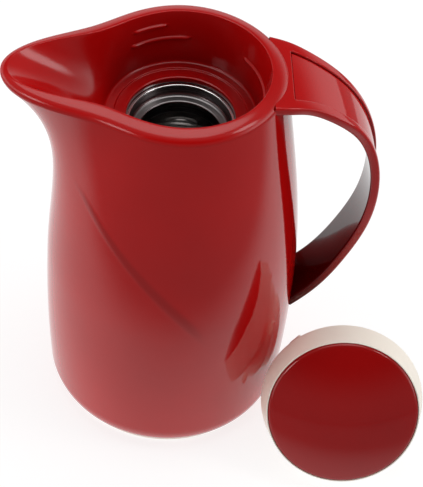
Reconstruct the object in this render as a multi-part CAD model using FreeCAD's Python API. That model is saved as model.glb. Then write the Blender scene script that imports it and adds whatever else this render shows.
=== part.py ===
"""Insulated pouring jug with a lift-out stopper lid, as separate sub-parts.

Frame: millimetres, +Z up, origin on the resting surface at the middle of the
base.  The spout points along -X, the handle along +X, and the lid lies on its
side beside the jug.
"""
import FreeCAD, Part
import math
import os

os.makedirs("parts", exist_ok=True)

Vec = FreeCAD.Vector
UP = Vec(0, 0, 1)

# ---------------------------------------------------------------- dimensions
# Outer form
BELLY_R = 66.0             # largest radius of the jug
BELLY_Z = 95.0             # height of the belly
SHELL_BOTTOM_Z = 1.5       # lower edge of the red shell, above the base plate
RIM_EDGE_Z = 226.0         # outer edge of the rim
RIM_TOP_Z = 229.0          # inner, higher edge of the rim
RIM_SEAM_Z = 223.5         # joint between the shell and the collar
RIM_SIDE_R = 49.3          # rim outer radius at the sides
RIM_HANDLE_EXTRA = 3.3     # rim outer radius gained towards the handle
SPOUT_EXTRA = 43.7         # rim outer radius gained at the spout tip
SPOUT_START_Z = 90.0       # height where the spout starts to swell
SPOUT_NARROW = 23.0        # degrees; spread of the spout's narrow part
SPOUT_WIDE = 38.0          # degrees; spread of its wide part
PINCH_START_Z = 140.0      # height where the sides start to draw in to the rim
SHOULDER_DRAW = 16.1       # draw-in of the body above the belly
SHOULDER_FLARE = 7.2       # and its easing towards the rim
SHOULDER_SPAN = 103.0      # height over which the two act
FOOT_DRAW = 5.0            # draw-in of the body below the belly
FOOT_CORNER_DEEP = 12.0    # rounded lower corner, width
FOOT_CORNER_HEIGHT = 16.0  # and height
RIM_LIP = 1.0              # flat width at the rim's inner edge
SHELL_WALL = 2.5

# Bowl inside the rim
BOWL_FLOOR_R = 38.7
BOWL_RIM_R = 41.0
BOWL_HANDLE_EXTRA = 3.0
BOWL_SPOUT_EXTRA = 47.0
CHANNEL_NARROW = 19.0      # degrees; spread of the channel's narrow part
BOWL_FLOOR_Z = 195.5
BOWL_WALL = 2.0
BOWL_STEP_R = 34.0
BOWL_STEP_DROP = 0.8
FLOOR_UNDER_Z = 191.5
THROAT_R = 27.9            # hole in the bowl floor, over the flask neck

# Locking ribs on the bowl wall, for the lid's lugs
RIB_ANGLES = (-75.0, 15.0, 105.0)
RIB_SPAN = 44.0            # degrees
RIB_PROUD = 1.0
RIB_Z = 210.9
RIB_HEIGHT = 1.6
RIB_ROOT = 1.2             # depth of the ribs' roots in the bowl wall
UPPER_RIB_ANGLE = 112.5
UPPER_RIB_RISE = 8.5
UPPER_RIB_SPAN = 24.0

# Double-wall steel flask
STEEL = 0.8
FLASK_OUT_R = 56.0
FLASK_OUT_BOTTOM = 12.0
FLASK_OUT_CORNER = 16.0
FLASK_IN_R = 50.0
FLASK_IN_BOTTOM = 18.0
FLASK_IN_CORNER = 14.0
SHOULDER_Z = 132.0
SHOULDER_EASE = 26.0       # reach of the shoulder's lower curve
NECK_Z = 176.0
NECK_EASE = 20.0           # reach of the shoulder's upper curve
NECK_WELD_Z = 177.0
NECK_OUT_R = 30.0
LIP_R = 26.2
LEDGE_R = 21.0
LEDGE_Z = 184.0
LIP_Z = 190.0
LIP_TOP_Z = 190.9
NECK_SEAL_LOW_Z = 186.0
NECK_SEAL_WIDE = 4.0
NECK_SEAL_GRIP = 1.4       # part of the seal over the lip

# Base
BASE_FLANGE_R = 55.4       # shows as a thin line under the shell
BASE_PLUG_R = 48.5
BASE_TOP_Z = 6.0
BASE_FLOOR = 2.5
BASE_WALL = 2.0            # upstand ring
FOOT_IN_R = 40.0
FOOT_OUT_R = 45.0
FOOT_DEEP = 1.2
BASE_SCREW_CIRCLE_R = 34.0
BASE_SCREW_R = 1.5
BASE_SCREW_ANGLES = (30.0, 150.0, 270.0)
SCREW_SEAT_DEEP = 1.6
SCREW_SINK = 0.3           # screw heads below the base's underside
SCREW_HEAD_THICK = 1.3
CARRIER_TOP_Z = 9.0        # plate that carries the flask
CARRIER_HOLE_R = 14.0
CUSHION_R = 30.0
GETTER_R = 9.0
GETTER_DEEP = 1.8

# Handle: a broad ribbon in the XZ plane
HANDLE_THICK = 5.0
PANEL_SHARE = 0.70         # grip panel width, as a share of the handle width
PANEL_SINK = 1.1           # grip panel surface, below the rails
PANEL_THICK = 1.5
PANEL_START_X = 54.0
PANEL_END_Z = 82.0
TONGUE_HALF_WIDTH = 9.0    # tongue of the handle, trapped under the collar
TONGUE_DEEP = 3.0
TONGUE_START_X = 49.5
TONGUE_LENGTH = 8.0
HANDLE_SCREW_R = 1.4
HANDLE_SCREW_X = 60.2      # underside of the screw's head, inside the shell
HANDLE_SCREW_Z = 64.8
HANDLE_SCREW_LENGTH = 18.0

# Lid, in its own frame: s runs along the axis towards the dome, 0 at the
# skirt's lower edge
SKIRT_R = 43.2
SKIRT_TOP_R = 40.6
SKIRT_HEIGHT = 17.0
LID_WALL = 2.0
CAP_R = 40.0
CAP_RISE = 8.5
CAP_SEAT = 3.0             # depth of the cap let into the skirt
PLUG_TOP_R = 32.0
PLUG_LOW_R = 23.6
PLUG_END_S = -39.0
PLUG_SHOULDER_S = -19.0    # below it the stopper narrows in a cone
PLUG_CONE_R = 29.0
PLUG_CONE_S = -23.0
PLUG_STEP_S = -30.0
PLUG_DECK = 2.0
SEAL_TOP_R = 23.0
SEAL_END_R = 20.2
SEAL_BORE_R = 17.0
SEAL_END_S = -45.0
END_CAP_S = -46.0
LUG_R = 37.8
LUG_S = -17.0
LUG_HEIGHT = 3.0
LUG_WIDTH = 9.0
LUG_COUNT = 4

# Where the lid lies
LID_X = 91.7
LID_Y = -57.8
LID_TURN = -4.0            # heading of the dome, degrees from -Y
LID_TILT = 27.0            # axis above the surface: skirt edge and seal cone both touch it
LID_SPIN = 45.0            # lugs clear of the surface

SECTION_POINTS = 60
FAR = 100.0                # beyond every part


# ---------------------------------------------------------------- helpers
def save(name, shape):
    """Writes one node and prints its volume, as a check on the model."""
    shape = shape.removeSplitter()
    shape.exportStep("parts/" + name + ".step")
    print(f"{name:22s} solids {len(shape.Solids)} valid {shape.isValid()} volume {shape.Volume:.0f}")


def turned(points):
    """Solid of revolution about Z from a closed outline of (radius, height)."""
    outline = Part.makePolygon([Vec(r, 0, z) for r, z in points + points[:1]])
    return Part.Face(outline).revolve(Vec(0, 0, 0), UP, 360)


def tube(radius_in, radius_out, low, high):
    ring = Part.makeCylinder(radius_out, high - low, Vec(0, 0, low))
    return ring.cut(Part.makeCylinder(radius_in, high - low, Vec(0, 0, low)))


def disc(radius, low, high):
    return Part.makeCylinder(radius, high - low, Vec(0, 0, low))


def fused(shapes):
    whole = shapes[0]
    for shape in shapes[1:]:
        whole = whole.fuse(shape)
    return whole.removeSplitter()


# ---------------------------------------------------------------- outer form
def lobe(angle, narrow, wide):
    """Spout swelling, 1 at the spout (-X) and fading to 0 at the sides."""
    away = abs(180.0 - angle % 360.0)
    return 0.75 * math.exp(-(away / narrow) ** 2) + 0.25 * math.exp(-(away / wide) ** 2)


def towards_handle(angle, power):
    """1 at the handle (+X), fading to 0 at the sides."""
    return max(0.0, math.cos(math.radians(angle))) ** power


def barrel_radius(z):
    """Radius of the plain round body at a height."""
    if z >= BELLY_Z:
        up = (z - BELLY_Z) / SHOULDER_SPAN
        return BELLY_R - SHOULDER_DRAW * up ** 2 + SHOULDER_FLARE * up ** 3
    down = (BELLY_Z - z) / BELLY_Z
    radius = BELLY_R - FOOT_DRAW * down ** 2.2
    if z < FOOT_CORNER_HEIGHT:
        drop = (FOOT_CORNER_HEIGHT - z) / FOOT_CORNER_HEIGHT
        radius -= FOOT_CORNER_DEEP * (1.0 - math.sqrt(1.0 - drop ** 2))
    return radius


def outer_radius(angle, z):
    """Radius of the jug's outer surface: barrel, pinched rim and spout."""
    radius = barrel_radius(z)
    if z > SPOUT_START_Z:
        swell = ((z - SPOUT_START_Z) / (RIM_EDGE_Z - SPOUT_START_Z)) ** 4
        radius += SPOUT_EXTRA * swell * lobe(angle, SPOUT_NARROW, SPOUT_WIDE)
    if z > PINCH_START_Z:
        pinch = ((z - PINCH_START_Z) / (RIM_EDGE_Z - PINCH_START_Z)) ** 2
        full_pinch = barrel_radius(RIM_EDGE_Z) - RIM_SIDE_R
        radius += pinch * (RIM_HANDLE_EXTRA * towards_handle(angle, 4) - full_pinch)
    return radius


def bowl_radius(angle, z):
    """Radius of the bowl and spout channel inside the rim."""
    climb = (z - BOWL_FLOOR_Z) / (RIM_TOP_Z - BOWL_FLOOR_Z)
    radius = BOWL_FLOOR_R + (BOWL_RIM_R - BOWL_FLOOR_R) * climb
    radius += BOWL_HANDLE_EXTRA * climb * towards_handle(angle, 2)
    channel = max(0.0, climb) ** 1.3 * lobe(angle, CHANNEL_NARROW, SPOUT_WIDE)
    return radius + BOWL_SPOUT_EXTRA * channel


def section(radius_at, z, grow=0.0):
    """Closed smooth outline of radius_at(angle, z) + grow, at a height."""
    points = []
    for step in range(SECTION_POINTS):
        angle = 360.0 * step / SECTION_POINTS
        radius = radius_at(angle, z) + grow
        turn = math.radians(angle)
        points.append(Vec(radius * math.cos(turn), radius * math.sin(turn), z))
    curve = Part.BSplineCurve()
    curve.interpolate(Points=points, PeriodicFlag=True)
    return Part.Wire([curve.toShape()])


def lofted(radius_at, heights, grow=0.0):
    return Part.makeLoft([section(radius_at, z, grow) for z in heights], True, False)


LOWER_HEIGHTS = [SHELL_BOTTOM_Z, 3.0, 6.0, 10.0, 16.0, 26.0, 42.0, 62.0, 82.0, 102.0, 122.0, 142.0]
UPPER_HEIGHTS = [158.0, 172.0, 184.0, 195.0, 205.0, 213.0, 219.0, RIM_SEAM_Z]
BOWL_HEIGHTS = [BOWL_FLOOR_Z, 200.0, 206.0, 212.0, 218.0, 224.0, RIM_TOP_Z + 2.0]


def outer_solid(inset=0.0):
    """The jug's whole form up to the rim, with no hollow."""
    return lofted(outer_radius, LOWER_HEIGHTS + UPPER_HEIGHTS, -inset)


def rim_solid():
    """The collar's flange and sloping rim band, with no hollow."""
    flange = Part.makeLoft(
        [section(outer_radius, RIM_SEAM_Z), section(outer_radius, RIM_EDGE_Z)], True, True)
    band = Part.makeLoft(
        [section(outer_radius, RIM_EDGE_Z), section(bowl_radius, RIM_TOP_Z, RIM_LIP)], True, True)
    return fused([flange, band])


def make_outer_shell(outside, hollow):
    """Red shell, open below, notched for the handle's tongue and screw."""
    return outside.cut(hollow).cut(handle_tongue()).cut(handle_screw_shank())


def make_collar():
    """Rim band, bowl with spout channel, and floor around the flask neck."""
    wall = lofted(bowl_radius, [FLOOR_UNDER_Z] + BOWL_HEIGHTS[:-1], BOWL_WALL)
    body = fused([rim_solid(), wall])
    body = body.cut(lofted(bowl_radius, BOWL_HEIGHTS))
    body = body.cut(disc(BOWL_STEP_R, BOWL_FLOOR_Z - BOWL_STEP_DROP, BOWL_FLOOR_Z + 1.0))
    body = body.cut(disc(THROAT_R, FLOOR_UNDER_Z - 1.0, BOWL_FLOOR_Z))
    ribs = [make_rib(angle, 0.0, RIB_SPAN) for angle in RIB_ANGLES]
    ribs.append(make_rib(UPPER_RIB_ANGLE, UPPER_RIB_RISE, UPPER_RIB_SPAN))
    return fused([body] + ribs)


def make_rib(middle, rise, span):
    """Short raised rib on the bowl wall, round in plan."""
    low = RIB_Z + rise
    points = []
    steps = 6
    for side, order in ((RIB_ROOT, range(steps + 1)), (-RIB_PROUD, range(steps, -1, -1))):
        for step in order:
            angle = middle - span / 2.0 + span * step / steps
            radius = bowl_radius(angle, low) + side
            turn = math.radians(angle)
            points.append(Vec(radius * math.cos(turn), radius * math.sin(turn), low))
    outline = Part.makePolygon(points + points[:1])
    return Part.Face(outline).extrude(Vec(0, 0, RIB_HEIGHT))


# ---------------------------------------------------------------- flask
def flask_wall(radius, bottom, corner, neck_radius, top):
    """Thin-walled vessel: closed round bottom, shoulder and open neck."""
    def outline(grow):
        r = radius + grow
        low = bottom - grow
        mid = math.sqrt(0.5)
        start = Vec(0, 0, low)
        corner_in = Vec(r - corner, 0, low)
        corner_mid = Vec(r - corner + corner * mid, 0, low + corner - corner * mid)
        corner_out = Vec(r, 0, low + corner)
        shoulder = Vec(r, 0, SHOULDER_Z)
        neck = Vec(neck_radius + grow, 0, NECK_Z)
        curve = Part.BezierCurve()
        curve.setPoles([shoulder, Vec(r, 0, SHOULDER_Z + SHOULDER_EASE),
                        Vec(neck_radius + grow, 0, NECK_Z - NECK_EASE), neck])
        end = Vec(neck_radius + grow, 0, top)
        axis_top = Vec(0, 0, top)
        edges = [Part.makeLine(start, corner_in),
                 Part.Arc(corner_in, corner_mid, corner_out).toShape(),
                 Part.makeLine(corner_out, shoulder),
                 curve.toShape(),
                 Part.makeLine(neck, end),
                 Part.makeLine(end, axis_top),
                 Part.makeLine(axis_top, start)]
        return Part.Face(Part.Wire(edges)).revolve(Vec(0, 0, 0), UP, 360)
    return outline(0.0).cut(outline(-STEEL))


def make_flask_inner():
    """Liner that holds the drink, up to the weld under the neck."""
    return flask_wall(FLASK_IN_R, FLASK_IN_BOTTOM, FLASK_IN_CORNER, LEDGE_R + STEEL, NECK_WELD_Z)


def make_flask_neck():
    """Neck sleeve welded on the liner, with the ledge that the lid's seal presses on."""
    throat = tube(LEDGE_R, LEDGE_R + STEEL, NECK_WELD_Z, LEDGE_Z)
    ledge = tube(LEDGE_R, LIP_R + STEEL, LEDGE_Z - STEEL, LEDGE_Z)
    mouth = tube(LIP_R, LIP_R + STEEL, LEDGE_Z - STEEL, LIP_Z)
    return fused([throat, ledge, mouth])


def make_flask_outer():
    return flask_wall(FLASK_OUT_R, FLASK_OUT_BOTTOM, FLASK_OUT_CORNER, NECK_OUT_R, LIP_Z)


def make_flask_lip():
    """Bright rolled lip that closes the two walls at the mouth."""
    width = NECK_OUT_R - LIP_R
    height = LIP_TOP_Z - LIP_Z
    side_z = LIP_Z + 0.6 * height
    return turned([(LIP_R, LIP_Z), (NECK_OUT_R, LIP_Z), (NECK_OUT_R, side_z),
                   (LIP_R + 0.8 * width, LIP_TOP_Z), (LIP_R + 0.2 * width, LIP_TOP_Z),
                   (LIP_R, side_z)])


def make_neck_seal():
    """Rubber ring around the neck, squeezed under the collar's floor."""
    grip_r = NECK_OUT_R - NECK_SEAL_GRIP
    outer_r = NECK_OUT_R + NECK_SEAL_WIDE
    return turned([(NECK_OUT_R, NECK_SEAL_LOW_Z), (outer_r, NECK_SEAL_LOW_Z),
                   (outer_r, FLOOR_UNDER_Z), (grip_r, FLOOR_UNDER_Z),
                   (grip_r, LIP_TOP_Z), (NECK_OUT_R, LIP_TOP_Z)])


# ---------------------------------------------------------------- base
def screw_places():
    for angle in BASE_SCREW_ANGLES:
        turn = math.radians(angle)
        yield Vec(BASE_SCREW_CIRCLE_R * math.cos(turn), BASE_SCREW_CIRCLE_R * math.sin(turn), 0)


def make_base_plate():
    """Pale base with an upstand ring, a foot groove and countersunk holes."""
    plate = fused([disc(BASE_FLANGE_R, 0.0, SHELL_BOTTOM_Z), disc(BASE_PLUG_R, 0.0, BASE_TOP_Z)])
    plate = plate.cut(disc(BASE_PLUG_R - BASE_WALL, BASE_FLOOR, BASE_TOP_Z))
    plate = plate.cut(tube(FOOT_IN_R, FOOT_OUT_R, 0.0, FOOT_DEEP))
    for place in screw_places():
        plate = plate.fuse(Part.makeCylinder(3.0 * BASE_SCREW_R, BASE_TOP_Z, place))
    for place in screw_places():
        plate = plate.cut(Part.makeCylinder(BASE_SCREW_R, BASE_TOP_Z, place))
        plate = plate.cut(Part.makeCylinder(2.0 * BASE_SCREW_R, SCREW_SEAT_DEEP, place))
    return plate


def make_foot_ring():
    """Soft ring let into the base, level with its underside."""
    return tube(FOOT_IN_R, FOOT_OUT_R, 0.0, FOOT_DEEP)


def make_base_screws():
    screws = []
    for place in screw_places():
        lifted = place + Vec(0, 0, SCREW_SINK)
        head = Part.makeCylinder(2.0 * BASE_SCREW_R, SCREW_HEAD_THICK, lifted)
        shank = Part.makeCylinder(BASE_SCREW_R, CARRIER_TOP_Z - 2.0 * SCREW_SINK, lifted)
        screws.append(fused([head, shank]))
    return Part.makeCompound(screws)


def make_flask_carrier(hollow):
    """Plate across the shell's foot that carries the flask; the base screws to it."""
    plate = tube(CARRIER_HOLE_R, BELLY_R, BASE_TOP_Z, CARRIER_TOP_Z).common(hollow)
    for place in screw_places():
        plate = plate.cut(Part.makeCylinder(BASE_SCREW_R, FAR, place))
    return plate


def make_flask_cushion():
    return tube(CARRIER_HOLE_R, CUSHION_R, CARRIER_TOP_Z, FLASK_OUT_BOTTOM)


def make_getter_cap():
    """Domed cap over the flask's evacuation point."""
    low = FLASK_OUT_BOTTOM - GETTER_DEEP
    edge = FLASK_OUT_BOTTOM - GETTER_DEEP / 3.0
    return turned([(0, low), (0.7 * GETTER_R, low), (GETTER_R, edge),
                   (GETTER_R, FLASK_OUT_BOTTOM), (0, FLASK_OUT_BOTTOM)])


# ---------------------------------------------------------------- handle
HANDLE_OUTER = ((44.0, 227.0), (60.0, 223.4), (74.0, 215.8), (91.4, 198.7), (101.8, 174.0),
                (103.9, 153.5), (101.0, 128.9), (91.8, 103.6), (76.6, 77.5), (56.0, 57.0))
HANDLE_HALF_WIDTH = ((232.0, 30.0), (226.0, 25.0), (223.0, 22.0), (215.0, 18.9), (206.0, 16.8),
                     (198.0, 15.0), (182.0, 13.3), (150.0, 13.0), (100.0, 13.6), (50.0, 15.5))


def spline_through(points):
    curve = Part.BSplineCurve()
    curve.interpolate(Points=points)
    return curve


def handle_line():
    return spline_through([Vec(x, 0, z) for x, z in HANDLE_OUTER])


def inset_points(curve, depth, count=24):
    """Points at a depth below the handle's outer line, towards the jug."""
    points = []
    first = curve.FirstParameter
    span = curve.LastParameter - first
    for step in range(count + 1):
        place = first + span * step / count
        tangent = curve.tangent(place)[0]
        points.append(curve.value(place) + Vec(tangent.z, 0, -tangent.x) * depth)
    return points


def ribbon(depth_top, depth_bottom):
    """Slab between two depths below the handle's outer line, wide in Y."""
    curve = handle_line()
    top = spline_through(inset_points(curve, depth_top))
    bottom = spline_through(inset_points(curve, depth_bottom))
    ends = [(top.value(top.FirstParameter), bottom.value(bottom.FirstParameter)),
            (top.value(top.LastParameter), bottom.value(bottom.LastParameter))]
    wire = Part.Wire([top.toShape(), Part.makeLine(ends[1][0], ends[1][1]),
                      bottom.toShape(), Part.makeLine(ends[0][1], ends[0][0])])
    face = Part.Face(wire)
    face.translate(Vec(0, -FAR, 0))
    return face.extrude(Vec(0, 2.0 * FAR, 0))


def width_prism(share):
    """Prism along X whose width in Y is a share of the handle's width by height."""
    right = spline_through([Vec(0, share * half, z) for z, half in HANDLE_HALF_WIDTH])
    left = spline_through([Vec(0, -share * half, z) for z, half in HANDLE_HALF_WIDTH])
    first = right.FirstParameter
    last = right.LastParameter
    wire = Part.Wire([right.toShape(), Part.makeLine(right.value(last), left.value(last)),
                      left.toShape(), Part.makeLine(left.value(first), right.value(first))])
    return Part.Face(wire).extrude(Vec(2.0 * FAR, 0, 0))


def panel_reach():
    """Space in which the grip panel runs, from just outside the rim down."""
    return Part.makeBox(FAR, 2.0 * FAR, 2.0 * FAR, Vec(PANEL_START_X, -FAR, PANEL_END_Z))


def handle_tongue():
    """Flat tongue through the shell's upper edge, under the collar's flange."""
    corner = Vec(TONGUE_START_X, -TONGUE_HALF_WIDTH, RIM_SEAM_Z - TONGUE_DEEP)
    return Part.makeBox(TONGUE_LENGTH, 2.0 * TONGUE_HALF_WIDTH, TONGUE_DEEP, corner)


def handle_screw_shank():
    """Screw from inside the shell up into the handle's lower root."""
    start = Vec(HANDLE_SCREW_X, 0, HANDLE_SCREW_Z)
    return Part.makeCylinder(HANDLE_SCREW_R, HANDLE_SCREW_LENGTH, start, Vec(1, 0, 1))


def make_handle_screw():
    start = Vec(HANDLE_SCREW_X, 0, HANDLE_SCREW_Z)
    head = Part.makeCylinder(1.6 * HANDLE_SCREW_R, SCREW_HEAD_THICK, start, Vec(-1, 0, -1))
    return fused([handle_screw_shank(), head])


def largest(shape):
    return max(shape.Solids, key=lambda solid: solid.Volume)


def make_handle_frame(outside):
    """Handle with a rail along each edge and a sunk bed for the grip panel."""
    bed = ribbon(-1.0, PANEL_SINK + PANEL_THICK).common(width_prism(PANEL_SHARE))
    bed = bed.common(panel_reach())
    body = ribbon(0.0, HANDLE_THICK).common(width_prism(1.0))
    body = largest(body.cut(bed).cut(outside).cut(rim_solid()))
    return body.fuse(handle_tongue().cut(bed)).cut(handle_screw_shank())


def make_handle_panel(outside):
    panel = ribbon(PANEL_SINK, PANEL_SINK + PANEL_THICK).common(width_prism(PANEL_SHARE))
    return largest(panel.common(panel_reach()).cut(outside))


# ---------------------------------------------------------------- lid
def dome(radius, low, rise):
    """Solid spherical cap standing on a short rim."""
    sphere_r = (radius ** 2 + rise ** 2) / (2.0 * rise)
    ball = Part.makeSphere(sphere_r, Vec(0, 0, low + rise - sphere_r))
    return ball.common(disc(radius, low, low + rise + 1.0))


def make_lid_cap():
    """Red domed cap, seated in the skirt."""
    seat_s = SKIRT_HEIGHT - CAP_SEAT
    outside = fused([disc(CAP_R, seat_s, SKIRT_HEIGHT), dome(CAP_R, SKIRT_HEIGHT, CAP_RISE)])
    return outside.cut(dome(CAP_R - LID_WALL, seat_s, CAP_RISE + CAP_SEAT - LID_WALL))


def make_lid_skirt():
    """Pale tapered ring with a ledge that the cap sits on."""
    ledge_r = CAP_R - LID_WALL - 1.0
    ledge_s = SKIRT_HEIGHT - CAP_SEAT
    return turned([(SKIRT_R - LID_WALL, 0.0), (SKIRT_R, 0.0), (SKIRT_R, PLUG_DECK),
                   (SKIRT_TOP_R, SKIRT_HEIGHT), (CAP_R, SKIRT_HEIGHT), (CAP_R, ledge_s),
                   (ledge_r, ledge_s), (ledge_r, ledge_s - LID_WALL),
                   (SKIRT_R - LID_WALL, PLUG_DECK)])


def plug_outline(inset, bottom, top):
    """Outline of the stopper: wide under the skirt, narrow in the flask neck."""
    return [(0, bottom), (PLUG_LOW_R - inset - 1.0, bottom), (PLUG_LOW_R - inset, bottom + 1.0),
            (PLUG_LOW_R - inset, PLUG_STEP_S), (PLUG_CONE_R - inset, PLUG_CONE_S),
            (PLUG_TOP_R - inset, PLUG_SHOULDER_S), (PLUG_TOP_R - inset, top), (0, top)]


def make_lid_plug():
    """Stopper body with locking lugs and the deck that carries the skirt."""
    deck = disc(SKIRT_R - LID_WALL, 0.0, PLUG_DECK)
    body = fused([turned(plug_outline(0.0, PLUG_END_S, 0.0)), deck])
    for step in range(LUG_COUNT):
        lug = Part.makeBox(LUG_R - PLUG_TOP_R + 1.0, LUG_WIDTH, LUG_HEIGHT,
                           Vec(PLUG_TOP_R - 1.0, -LUG_WIDTH / 2.0, LUG_S))
        lug.rotate(Vec(0, 0, 0), UP, 360.0 * step / LUG_COUNT)
        body = body.fuse(lug)
    return body.cut(make_lid_insulation())


def make_lid_seal():
    """Silicone cone that wedges on the flask's ledge."""
    return turned([(SEAL_BORE_R, SEAL_END_S), (SEAL_END_R, SEAL_END_S),
                   (SEAL_TOP_R, PLUG_END_S), (SEAL_BORE_R, PLUG_END_S)])


def make_lid_end_cap():
    """Cap under the stopper that holds the seal on."""
    bevel = 0.8
    cap_r = SEAL_END_R - bevel
    return turned([(0, END_CAP_S), (cap_r - bevel, END_CAP_S), (cap_r, END_CAP_S + bevel),
                   (cap_r, SEAL_END_S), (SEAL_BORE_R, SEAL_END_S),
                   (SEAL_BORE_R, PLUG_END_S), (0, PLUG_END_S)])


def make_lid_insulation():
    """Foam that fills the stopper."""
    return turned(plug_outline(LID_WALL, PLUG_END_S + LID_WALL, PLUG_DECK))


def lid_placement():
    """Lying on the skirt's edge and the seal, lugs clear of the surface."""
    height = SKIRT_R * math.cos(math.radians(LID_TILT))
    spin = FreeCAD.Rotation(UP, LID_SPIN)
    lay = FreeCAD.Rotation(Vec(1, 0, 0), 90.0 - LID_TILT)
    head = FreeCAD.Rotation(UP, LID_TURN)
    return FreeCAD.Placement(Vec(LID_X, LID_Y, height), head * lay * spin)


def main():
    outside = outer_solid()
    hollow = outer_solid(SHELL_WALL)
    save("outer_shell", make_outer_shell(outside, hollow))
    save("pouring_collar", make_collar())
    save("handle_frame", make_handle_frame(outside))
    save("handle_grip_panel", make_handle_panel(outside))
    save("handle_screw", make_handle_screw())
    save("flask_inner", make_flask_inner())
    save("flask_neck", make_flask_neck())
    save("flask_outer", make_flask_outer())
    save("flask_lip_ring", make_flask_lip())
    save("flask_getter_cap", make_getter_cap())
    save("neck_seal", make_neck_seal())
    save("flask_carrier", make_flask_carrier(hollow))
    save("flask_cushion", make_flask_cushion())
    save("base_plate", make_base_plate())
    save("foot_ring", make_foot_ring())
    save("base_screws", make_base_screws())
    lid_nodes = {
        "lid_cap": make_lid_cap(),
        "lid_skirt": make_lid_skirt(),
        "lid_plug": make_lid_plug(),
        "lid_insulation": make_lid_insulation(),
        "lid_seal": make_lid_seal(),
        "lid_end_cap": make_lid_end_cap(),
    }
    place = lid_placement()
    for name, shape in lid_nodes.items():
        shape.Placement = place
        save(name, shape)


main()
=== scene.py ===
"""Looks of the insulated jug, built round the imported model.

Lengths in the shape code are millimetres in the CAD frame; MM turns them into metres.
"""
import math

import bmesh
import bpy
import numpy as np
from mathutils import Matrix, Vector


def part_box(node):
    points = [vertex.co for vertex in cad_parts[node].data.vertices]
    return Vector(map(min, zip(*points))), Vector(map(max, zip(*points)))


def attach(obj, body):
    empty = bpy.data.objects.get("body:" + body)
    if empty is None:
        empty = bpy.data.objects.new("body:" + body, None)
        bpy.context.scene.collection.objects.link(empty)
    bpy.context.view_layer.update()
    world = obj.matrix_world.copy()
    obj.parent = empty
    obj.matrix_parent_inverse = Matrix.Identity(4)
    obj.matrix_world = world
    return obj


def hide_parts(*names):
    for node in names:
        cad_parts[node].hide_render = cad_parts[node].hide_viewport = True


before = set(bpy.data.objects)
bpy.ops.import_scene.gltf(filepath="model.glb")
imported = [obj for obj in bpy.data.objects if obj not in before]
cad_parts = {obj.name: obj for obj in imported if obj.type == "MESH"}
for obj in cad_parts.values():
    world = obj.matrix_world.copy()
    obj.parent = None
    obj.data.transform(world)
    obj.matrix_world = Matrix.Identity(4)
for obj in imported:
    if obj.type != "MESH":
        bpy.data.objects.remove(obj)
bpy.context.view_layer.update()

MM = 0.001


# ---------------------------------------------------------------- sizes from the frame
def low(node):
    return np.array(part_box(node)[0]) / MM


def high(node):
    return np.array(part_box(node)[1]) / MM


RIM_TOP_Z = high("pouring_collar")[2]
FLOOR_UNDER_Z = low("pouring_collar")[2]
SHELL_BOTTOM_Z = low("outer_shell")[2]
RIM_SEAM_Z = high("outer_shell")[2]
BELLY_R = high("outer_shell")[1]
LIP_LOW_Z = low("flask_lip_ring")[2]
LIP_TOP_Z = high("flask_lip_ring")[2]
NECK_OUT_R = high("flask_lip_ring")[0]

# Form of the jug, as designed
BELLY_Z = 95.0
RIM_EDGE_Z = 226.0
RIM_SIDE_R = 49.3
RIM_HANDLE_EXTRA = 3.3
SPOUT_EXTRA = 43.7
SPOUT_START_Z = 90.0
SPOUT_NARROW = 23.0        # degrees; spread of the spout's narrow part
SPOUT_WIDE = 38.0          # degrees; spread of its wide part
PINCH_START_Z = 140.0      # height where the sides start to draw in to the rim
SHOULDER_DRAW = 16.1       # draw-in of the body above the belly
SHOULDER_FLARE = 7.2       # and its easing towards the rim
SHOULDER_SPAN = 103.0      # height over which the two act
FOOT_DRAW = 5.0            # draw-in of the body below the belly
FOOT_CORNER_DEEP = 12.0    # rounded lower corner, width
FOOT_CORNER_HEIGHT = 16.0  # and height
SHELL_WALL = 2.5
RIM_LIP = 1.0
RIM_FULLNESS = 1.5         # height of the rim round's control point over the edge
BOWL_FLOOR_R = 38.7
BOWL_RIM_R = 41.0
BOWL_HANDLE_EXTRA = 3.0
BOWL_SPOUT_EXTRA = 47.0
CHANNEL_NARROW = 19.0      # degrees; spread of the channel's narrow part
BOWL_FLOOR_Z = 195.5
BOWL_WALL = 2.0
BOWL_STEP_R = 34.0
BOWL_STEP_DROP = 0.8
THROAT_R = 27.9
RIB_ANGLES = (-75.0, 15.0, 105.0)
RIB_SPAN = 44.0
RIB_PROUD = 1.0
RIB_Z = 210.9
RIB_HEIGHT = 1.6
UPPER_RIB_ANGLE = 112.5
UPPER_RIB_RISE = 8.5
UPPER_RIB_SPAN = 24.0
LIP_R = 26.2
LEDGE_R = 21.0
LEDGE_Z = 184.0
STEEL = 0.8
NECK_WELD_Z = 177.0
HANDLE_THICK = 5.0
PANEL_SHARE = 0.70
PANEL_SINK = 1.1
PANEL_THICK = 1.5
PANEL_START_X = 54.0
PANEL_END_Z = 82.0
HANDLE_OUTER = ((44.0, 227.0), (60.0, 223.4), (74.0, 215.8), (91.4, 198.7), (101.8, 174.0),
                (103.9, 153.5), (101.0, 128.9), (91.8, 103.6), (76.6, 77.5), (56.0, 57.0))
HANDLE_HALF_WIDTH = ((232.0, 30.0), (226.0, 25.0), (223.0, 22.0), (215.0, 18.9), (206.0, 16.8),
                     (198.0, 15.0), (182.0, 13.3), (150.0, 13.0), (100.0, 13.6), (50.0, 15.5))
HANDLE_ROOT_X = 61.5       # where the ribbon's inner line ends, inside the shell
FOOT_IN_R = 40.0
BASE_PLUG_R = 48.5
BASE_FLOOR = 2.5
BASE_WALL = 2.0
SKIRT_R = 43.2
SKIRT_TOP_R = 40.6
SKIRT_HEIGHT = 17.0
LID_WALL = 2.0
CAP_R = 40.0
CAP_SIDE = 0.4
CAP_RISE = 8.5
CAP_SEAT = 3.0
PLUG_TOP_R = 32.0
PLUG_LOW_R = 23.6
PLUG_END_S = -39.0
SEAL_TOP_R = 23.0
SEAL_END_R = 20.2
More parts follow.
